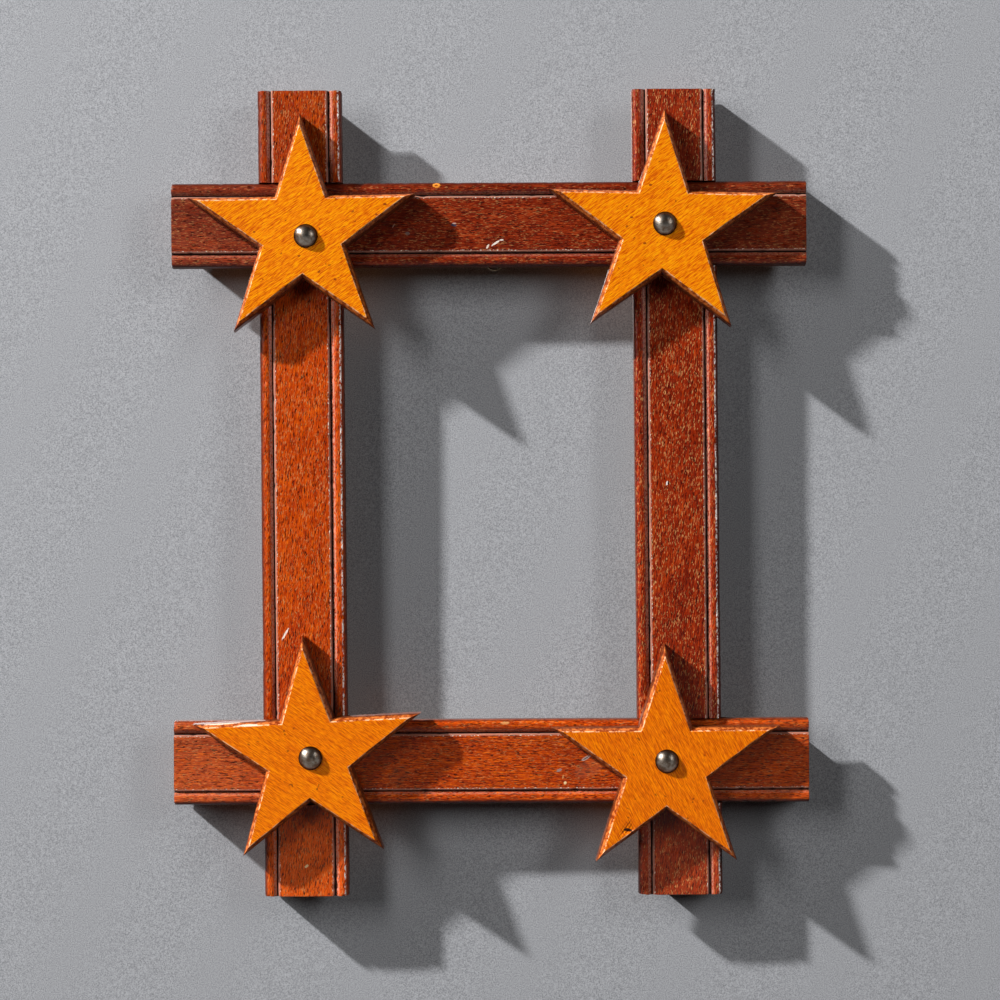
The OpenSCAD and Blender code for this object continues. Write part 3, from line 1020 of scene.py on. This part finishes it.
def walnut(bar, shift):
    """Varnished walnut: streaks and pores along the grain, pale flecks of dust with painted glints, darker
    outer beads, a broken white line on some beads, pale arrises with chips and painted glints, dust with
    painted sheen on the beads' flanks and painted shade in the quirks.
    """
    s = Shader("walnut_" + bar)
    look = BARS[bar]
    along, side, depth = s.parts(s.stored("section", "Vector"))
    inward = s.math("SUBTRACT", BAR_WIDTH / MM / 2, s.math("ABSOLUTE", side))
    front = s.step(depth, *[mm - BAR_DEPTH / MM for mm in FRONT_STEP])
    noises = s.wood_noises(WALNUT_NOISES, shift)
    grime = noises["grime"]

    color = s.wood_color(noises, WALNUT_TONE, look["tones"], WALNUT_STEPS)
    near_end = s.step(s.stored("from_end"), *TINT_REACH)
    tint = s.pair(s.step(along, *TINT_TURN), look["ends"])
    color = s.cover(color, near_end, s.times(grime, TINT_COVER), tint)
    color = s.lay_stain_or_painted_light(color, s.step(noises["pores"], *PORE_STEP), "pore")
    # Pale flecks: dust in the pores, with painted glints on their edges
    fleck = s.times(s.step(noises["flecks"], *FLECK_STEP), s.step(grime, *GRIME_STEP))
    color = s.lay_stain_or_painted_light(color, fleck, "fleck", look["flecked"])
    color = walnut_moulding(s, color, inward, side, noises, look)
    for mark in MARKS[bar]:
        color = s.mark(color, BEAD_SHOULDER - BAR_DEPTH, mark)
    color = walnut_outside(s, color, inward, depth, front, noises["streaks"])

    sunk = s.band(inward, BEAD_FOOT / MM, ARRIS_IN / MM, SUNK_BAND)
    rough = s.plus(s.blend({**noises, "sunk": sunk, "front": front}, WALNUT_ROUGH), WALNUT_ROUGHNESS)
    height = s.blend(noises, WALNUT_RELIEF)
    return s.surface(color, rough, height, WALNUT_BUMP, VARNISH)


def walnut_moulding(s, color, inward, side, noises, look):
    """Dust with painted sheen on the bead's inner flank, painted shade in the quirk, a pale arris with chips
    and painted glints, and a broken white line on the bead's far edge.
    """
    crumbs = noises["crumbs"]
    half, foot = BAR_WIDTH / MM / 2, BEAD_FOOT / MM
    arris, flat = ARRIS_IN / MM, (ARRIS_IN + ARRIS_ROUND) / MM
    color = s.lay_stain_or_painted_light(color, s.step(side, *[mm - half for mm in HANDLED_STEP]), "handled")
    # Dust with painted sheen on the bead's inner flank
    dust_and_sheen = s.times(s.band(inward, foot, foot, DUST_AND_SHEEN_BAND), s.step(crumbs, *DUST_AND_SHEEN_STEP))
    color = s.lay_stain_or_painted_light(color, dust_and_sheen, "dust_and_sheen", look["dust_and_sheen_share"])
    # Painted shade in the quirk
    color = s.lay_stain_or_painted_light(color, s.band(inward, foot, arris, QUIRK_SHADE_BAND), "quirk")
    color = s.lay_stain_or_painted_light(color, s.band(inward, arris, flat, ARRIS_BAND), "arris")
    # Chipped varnish with painted glints on the field's corner
    chips_and_glints = s.times(s.band(inward, flat, flat, CHIP_AND_GLINT_BAND), s.step(crumbs, *CHIP_AND_GLINT_STEP))
    color = s.lay_stain_or_painted_light(color, chips_and_glints, "chip_and_glint")
    color = s.lay_stain_or_painted_light(color, s.step(inward, *SIDE_EDGE_STEP), "side_edge")
    # A broken white line near the side edge of the chosen bead
    white_line = s.band(s.times(side, look["white_line"]), half, half, WHITE_LINE_BAND)
    white_line = s.times(white_line, s.step(crumbs, *WHITE_LINE_STEP))
    return s.lay_stain_or_painted_light(color, white_line, "white_line", s.step(noises["grime"], *GRIME_STEP))


def walnut_outside(s, color, inward, depth, front, streaks):
    """Darker sides, bare wood at the back and in the rebate, and end grain."""
    aged = s.step(streaks, *AGED_STEP)
    color = s.mix(front, s.pair(aged, AGED_WOOD), color)
    behind_ledge = s.step(depth, -REBATE_DEPTH / MM - REBATE_STEP[0], -REBATE_DEPTH / MM)
    rebate = s.times(s.step(inward, *REBATE_STEP), behind_ledge)
    bare = s.math("MAXIMUM", s.step(depth, *BACK_STEP), rebate)
    color = s.mix(bare, color, s.pair(aged, BARE_WOOD))
    sawn = s.pair(s.step(streaks, *SAWN_STEP), SAWN_WOOD)
    return s.cover(color, s.step(s.stored("from_end"), *SAWN_REACH), SAWN_COVER, sawn)


def amber(corner, shift):
    """Amber varnished wood: fine slanting grain, uneven chamfers darkened by a stain and by painted shade,
    painted shade along the outer edge, worn edges.
    """
    s = Shader("amber_" + corner)
    rim = s.stored("rim")
    depth = s.parts(s.stored("grain", "Vector"))[2]
    noises = s.wood_noises(AMBER_NOISES, shift)
    grime = noises["grime"]

    color = s.wood_color(noises, AMBER_TONE, STARS[corner]["tones"], AMBER_STEPS)
    color = s.lay_stain_or_painted_light(color, s.step(noises["pores"], *AMBER_PORE_STEP), "amber_pore")
    color = s.lay_stain_or_painted_light(color, s.step(noises["spots"], *AMBER_SPOT_STEP), "amber_spot")

    width = STAR_CHAMFER / MM
    before_back = s.step(depth, *STAR_BACK_STEP)
    # The chamfer, darkened by a stain and by painted shade
    chamfer = s.times(s.step(rim, width + CHAMFER_EDGE[0], width + CHAMFER_EDGE[1]), before_back)
    color = s.cover(color, chamfer, CHAMFER_COVER, s.pair(s.step(grime, *CHAMFER_SHADE_STEP), CHAMFER_STAIN_AND_SHADE))
    # Painted shade along the star's outer edge and sides
    foot_shade = s.times(s.step(rim, *STAR_FOOT_SHADE), before_back)
    color = s.lay_stain_or_painted_light(color, foot_shade, "star_edge_shade")
    worn = s.times(s.band(rim, width, width, WORN_BAND), s.step(grime, *WORN_STEP))
    front = s.step(depth, WORN_DEPTH - STAR_THICKNESS / MM, -STAR_THICKNESS / MM)
    worn = s.times(worn, s.math("MINIMUM", s.times(front, WORN_FADE), 1.0))
    color = s.lay_stain_or_painted_light(color, worn, "star_worn")
    for mark in MARKS["star_" + corner]:
        color = s.mark(color, STAR_CHAMFER_DEPTH - BAR_DEPTH - STAR_THICKNESS, mark)

    height = s.blend(noises, AMBER_RELIEF)
    return s.surface(color, s.rough(grime, *AMBER_ROUGH), height, AMBER_BUMP, VARNISH)


def steel():
    """Dark polished steel with brown bloom, and painted shade darkening the dome towards its rim."""
    s = Shader("nail_steel")
    place = s.place()
    bloom = s.noise(place, *BLOOM)
    scratches = s.noise(s.stretched(place, SCRATCH_WAVES), *SCRATCHES)
    color = s.pair(s.step(bloom, *BLOOM_STEP), STEEL_TONES)
    # Painted shade darkening the dome towards its rim
    color = s.mix(s.step(s.stored("out"), *RIM_SHADE_STEP), color, srgb(*STEEL_RIM_SHADE))
    height = s.plus(bloom, scratches)
    return s.surface(color, s.rough(bloom, *STEEL_ROUGH), height, STEEL_BUMP, STEEL)


def brass():
    """Dull grey-brown brass wire."""
    s = Shader("hanger_brass_aged")
    place = s.place()
    tarnish = s.noise(place, *TARNISH)
    drawn = s.noise(place, *DRAWN)
    color = s.pair(s.step(tarnish, *TARNISH_STEP), BRASS_TONES)
    height = s.plus(tarnish, drawn)
    return s.surface(color, s.rough(tarnish, *BRASS_ROUGH), height, BRASS_BUMP, BRASS)


def make_camera():
    """The camera, square before the frame but for a slight roll."""
    data = bpy.data.cameras.new("camera")
    data.lens = LENS
    data.sensor_width = SENSOR
    camera = link("camera", data)
    turned = Matrix.Rotation(math.radians(90), 4, "X") @ Matrix.Rotation(math.radians(CAMERA_ROLL), 4, "Z")
    camera.matrix_world = Matrix.Translation(CAMERA_PLACE) @ turned
    bpy.context.scene.camera = camera


def aim(lamp, way):
    """Turns a lamp that stands some way off towards the frame."""
    lamp.rotation_mode = "QUATERNION"
    lamp.rotation_quaternion = way.to_track_quat("Z", "Y")


def make_lamp(name, towards, distance, width, height, share):
    """A round lamp or an upright strip, with its share of the light at which a colour renders as written."""
    way = Vector(towards).normalized()
    data = bpy.data.lights.new(name, "AREA")
    data.shape = "DISK" if width == height else "RECTANGLE"
    data.size, data.size_y = width, height
    facing = abs(way.y)
    data.energy = share * math.pi * math.pi * distance ** 2 / facing
    lamp = link(name, data)
    lamp.location = way * distance
    aim(lamp, way)


def make_lamps():
    """A strong lamp high on the left and an upright strip on each side, with a sun behind for the back."""
    for name, lamp in LAMPS.items():
        make_lamp(name, *lamp)
    sun = bpy.data.lights.new("rear", "SUN")
    sun.energy = SUN_STRENGTH
    sun.angle = math.radians(SUN_SOFTNESS)
    aim(link("rear", sun), Vector(SUN_TOWARDS))


def make_world():
    """Faint light from all round, and a pale background where the camera sees past the stage."""
    world = bpy.data.worlds.new("room")
    bpy.context.scene.world = world
    world.use_nodes = True
    tree = world.node_tree
    tree.nodes.clear()
    kinds = ("OutputWorld", "Background", "Background", "LightPath", "MixShader")
    output, faint, pale, path, mix = [tree.nodes.new("ShaderNode" + kind) for kind in kinds]
    faint.inputs[0].default_value = FAINT_COLOR
    faint.inputs[1].default_value = FAINT_STRENGTH
    pale.inputs[0].default_value = srgb(*BACKGROUND)
    tree.links.new(path.outputs["Is Camera Ray"], mix.inputs[0])
    tree.links.new(faint.outputs[0], mix.inputs[1])
    tree.links.new(pale.outputs[0], mix.inputs[2])
    tree.links.new(mix.outputs[0], output.inputs[0])


def plane(name, corners, material):
    """A flat piece of the stage."""
    mesh = bpy.data.meshes.new(name)
    mesh.from_pydata(corners, [], [(0, 1, 2, 3)])
    mesh.materials.append(material)
    made = link(name, mesh)
    return made


def wall_paint():
    """Grey wall paint that is seen from its front only, so that the frame's back shows from behind."""
    s = Shader("wall_paint")
    place = s.place()
    roller = s.noise(place, *ROLLER)
    cloud = s.noise(place, *WALL_CLOUDS)
    color = s.pair(s.step(roller, *ROLLER_STEP, smooth=False), WALL_TONES)
    color = s.cover(color, cloud, WALL_CLOUD_SHARE, srgb(*WALL_CLOUD))
    s.surface(color, WALL_ROUGH, roller, WALL_BUMP, WALL_PAINT)
    painted = s.output.inputs[0].links[0].from_socket
    clear = s.add("ShaderNodeBsdfTransparent").outputs[0]
    behind = s.add("ShaderNodeNewGeometry").outputs["Backfacing"]
    mix = s.add("ShaderNodeMixShader", {0: behind, 1: painted, 2: clear})
    s.feed(s.output.inputs[0], mix.outputs[0])
    return s.material


def floor_paint():
    """Pale grey floor paint with faint clouds."""
    s = Shader("floor_paint")
    cloud = s.noise(s.place(), *FLOOR_CLOUDS)
    color = s.pair(cloud, FLOOR_TONES)
    return s.surface(color, FLOOR_ROUGH, cloud, FLOOR_BUMP, FLOOR_PAINT)


def make_stage():
    """A wall right behind the frame and a floor below it."""
    reach = STAGE_REACH
    near = cad_box[1].y + WALL_GAP
    sides = [(-reach, FLOOR_Z), (reach, FLOOR_Z), (reach, WALL_TOP), (-reach, WALL_TOP)]
    corners = [(x, near + WALL_SLANT_X * x + WALL_SLANT_Z * z, z) for x, z in sides]
    wall = plane("wall", corners, wall_paint())
    wall.visible_shadow = False
    floor = [(x, y, FLOOR_Z) for x, y in [(-reach, -reach), (reach, -reach), (reach, reach), (-reach, reach)]]
    ground = plane("floor", floor, floor_paint())
    ground.visible_diffuse = False


make_camera()
make_world()
make_lamps()
make_stage()

for number, bar in enumerate(BARS):
    make_bar(bar, walnut(bar, BAR_APART * number))
for number, corner in enumerate(STARS):
    make_star(corner, amber(corner, STAR_APART * number))
nail_steel = steel()
for corner in STARS:
    make_nail(corner, nail_steel)
wire_brass = brass()
make_screw_eye(wire_brass)
make_ring(wire_brass)

bpy.context.scene.view_settings.view_transform = "Standard"
